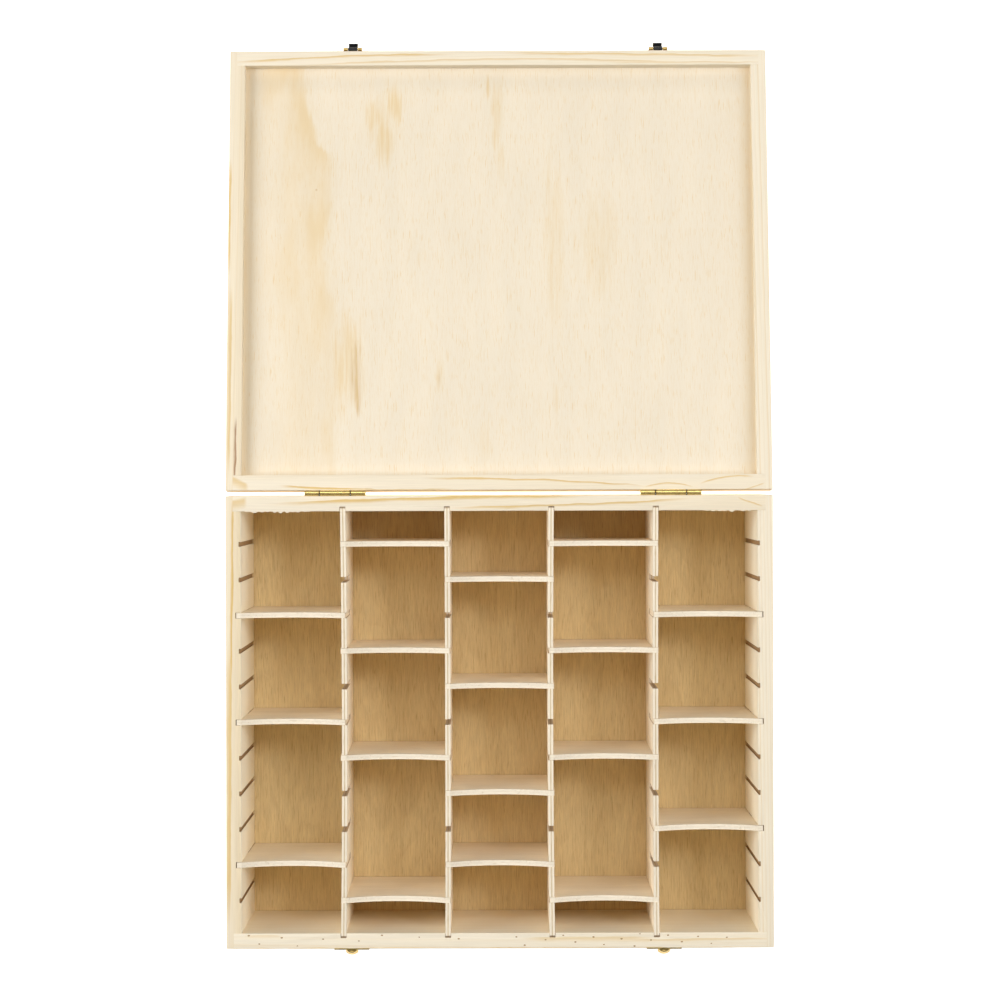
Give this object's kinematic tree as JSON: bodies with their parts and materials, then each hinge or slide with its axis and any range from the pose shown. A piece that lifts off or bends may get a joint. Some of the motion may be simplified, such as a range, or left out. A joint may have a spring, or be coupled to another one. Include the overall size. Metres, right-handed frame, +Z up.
{
  "type": "trading card storage box",
  "caption": "Open-top pine card box with hinged panel lid, brass latches and lift-out plywood dividers in slotted columns.",
  "frame": {"origin": "centre of the base's underside, on the table", "axes": "+X across the columns to the right, +Y from the latch side to the hinge side, +Z up"},
  "size_m": [0.375, 0.6332, 0.0919],
  "materials": {
    "pine": "unfinished, sanded",
    "panel_ply": "unfinished plywood",
    "divider_ply": "unfinished plywood",
    "hinge_brass": "brass plated",
    "latch_brass": "brass plated",
    "screw_brass": "brass plated"
  },
  "bodies": {
    "base": {"base_front_wall": "pine", "base_back_wall": "pine", "base_left_wall": "pine", "base_right_wall": "pine", "floor_panel": "panel_ply", "column_divider_1": "divider_ply", "column_divider_2": "divider_ply", "column_divider_3": "divider_ply", "column_divider_4": "divider_ply", "hinge_base_leaf_left": "hinge_brass", "hinge_base_leaf_right": "hinge_brass", "hinge_pin_left": "hinge_brass", "hinge_pin_right": "hinge_brass", "hinge_base_screws": "screw_brass", "latch_catch_left": "latch_brass", "latch_catch_right": "latch_brass", "latch_catch_screws": "screw_brass"},
    "lid": {"lid_front_rail": "pine", "lid_back_rail": "pine", "lid_left_rail": "pine", "lid_right_rail": "pine", "lid_panel": "panel_ply", "hinge_lid_leaf_left": "hinge_brass", "hinge_lid_leaf_right": "hinge_brass", "hinge_lid_screws": "screw_brass", "latch_plate_left": "latch_brass", "latch_plate_right": "latch_brass", "latch_pin_left": "latch_brass", "latch_pin_right": "latch_brass", "latch_plate_screws": "screw_brass"},
    "latch_flap_left": {"latch_flap_left": "latch_brass"},
    "latch_flap_right": {"latch_flap_right": "latch_brass"},
    "cross_divider_c1_s3": {"cross_divider_c1_s3": "divider_ply"},
    "cross_divider_c1_s6": {"cross_divider_c1_s6": "divider_ply"},
    "cross_divider_c1_s10": {"cross_divider_c1_s10": "divider_ply"},
    "cross_divider_c2_s1": {"cross_divider_c2_s1": "divider_ply"},
    "cross_divider_c2_s4": {"cross_divider_c2_s4": "divider_ply"},
    "cross_divider_c2_s7": {"cross_divider_c2_s7": "divider_ply"},
    "cross_divider_c2_s11": {"cross_divider_c2_s11": "divider_ply"},
    "cross_divider_c3_s2": {"cross_divider_c3_s2": "divider_ply"},
    "cross_divider_c3_s5": {"cross_divider_c3_s5": "divider_ply"},
    "cross_divider_c3_s8": {"cross_divider_c3_s8": "divider_ply"},
    "cross_divider_c3_s10": {"cross_divider_c3_s10": "divider_ply"},
    "cross_divider_c4_s1": {"cross_divider_c4_s1": "divider_ply"},
    "cross_divider_c4_s4": {"cross_divider_c4_s4": "divider_ply"},
    "cross_divider_c4_s7": {"cross_divider_c4_s7": "divider_ply"},
    "cross_divider_c4_s11": {"cross_divider_c4_s11": "divider_ply"},
    "cross_divider_c5_s3": {"cross_divider_c5_s3": "divider_ply"},
    "cross_divider_c5_s6": {"cross_divider_c5_s6": "divider_ply"},
    "cross_divider_c5_s9": {"cross_divider_c5_s9": "divider_ply"}
  },
  "joints": [
    {"name": "lid_hinge", "type": "hinge", "parent": "base", "child": "lid", "pos_m": [0, 0.15695, 0.09012], "axis": [-1, 0, 0], "range_deg": [-187, 0]},
    {"name": "latch_flap_left_hinge", "type": "hinge", "parent": "lid", "child": "latch_flap_left", "pos_m": [-0.1017, 0.46787, 0.05036], "axis": [-1, 0, 0], "range_deg": [-115, 0]},
    {"name": "latch_flap_right_hinge", "type": "hinge", "parent": "lid", "child": "latch_flap_right", "pos_m": [0.1123, 0.46787, 0.05036], "axis": [-1, 0, 0], "range_deg": [-115, 0]},
    {"name": "cross_divider_c1_s3_lift", "type": "slide", "parent": "base", "child": "cross_divider_c1_s3", "axis": [0, 0, 1], "range_m": [0, 0.09]},
    {"name": "cross_divider_c1_s6_lift", "type": "slide", "parent": "base", "child": "cross_divider_c1_s6", "axis": [0, 0, 1], "range_m": [0, 0.09]},
    {"name": "cross_divider_c1_s10_lift", "type": "slide", "parent": "base", "child": "cross_divider_c1_s10", "axis": [0, 0, 1], "range_m": [0, 0.09]},
    {"name": "cross_divider_c2_s1_lift", "type": "slide", "parent": "base", "child": "cross_divider_c2_s1", "axis": [0, 0, 1], "range_m": [0, 0.09]},
    {"name": "cross_divider_c2_s4_lift", "type": "slide", "parent": "base", "child": "cross_divider_c2_s4", "axis": [0, 0, 1], "range_m": [0, 0.09]},
    {"name": "cross_divider_c2_s7_lift", "type": "slide", "parent": "base", "child": "cross_divider_c2_s7", "axis": [0, 0, 1], "range_m": [0, 0.09]},
    {"name": "cross_divider_c2_s11_lift", "type": "slide", "parent": "base", "child": "cross_divider_c2_s11", "axis": [0, 0, 1], "range_m": [0, 0.09]},
    {"name": "cross_divider_c3_s2_lift", "type": "slide", "parent": "base", "child": "cross_divider_c3_s2", "axis": [0, 0, 1], "range_m": [0, 0.09]},
    {"name": "cross_divider_c3_s5_lift", "type": "slide", "parent": "base", "child": "cross_divider_c3_s5", "axis": [0, 0, 1], "range_m": [0, 0.09]},
    {"name": "cross_divider_c3_s8_lift", "type": "slide", "parent": "base", "child": "cross_divider_c3_s8", "axis": [0, 0, 1], "range_m": [0, 0.09]},
    {"name": "cross_divider_c3_s10_lift", "type": "slide", "parent": "base", "child": "cross_divider_c3_s10", "axis": [0, 0, 1], "range_m": [0, 0.09]},
    {"name": "cross_divider_c4_s1_lift", "type": "slide", "parent": "base", "child": "cross_divider_c4_s1", "axis": [0, 0, 1], "range_m": [0, 0.09]},
    {"name": "cross_divider_c4_s4_lift", "type": "slide", "parent": "base", "child": "cross_divider_c4_s4", "axis": [0, 0, 1], "range_m": [0, 0.09]},
    {"name": "cross_divider_c4_s7_lift", "type": "slide", "parent": "base", "child": "cross_divider_c4_s7", "axis": [0, 0, 1], "range_m": [0, 0.09]},
    {"name": "cross_divider_c4_s11_lift", "type": "slide", "parent": "base", "child": "cross_divider_c4_s11", "axis": [0, 0, 1], "range_m": [0, 0.09]},
    {"name": "cross_divider_c5_s3_lift", "type": "slide", "parent": "base", "child": "cross_divider_c5_s3", "axis": [0, 0, 1], "range_m": [0, 0.09]},
    {"name": "cross_divider_c5_s6_lift", "type": "slide", "parent": "base", "child": "cross_divider_c5_s6", "axis": [0, 0, 1], "range_m": [0, 0.09]},
    {"name": "cross_divider_c5_s9_lift", "type": "slide", "parent": "base", "child": "cross_divider_c5_s9", "axis": [0, 0, 1], "range_m": [0, 0.09]}
  ]
}
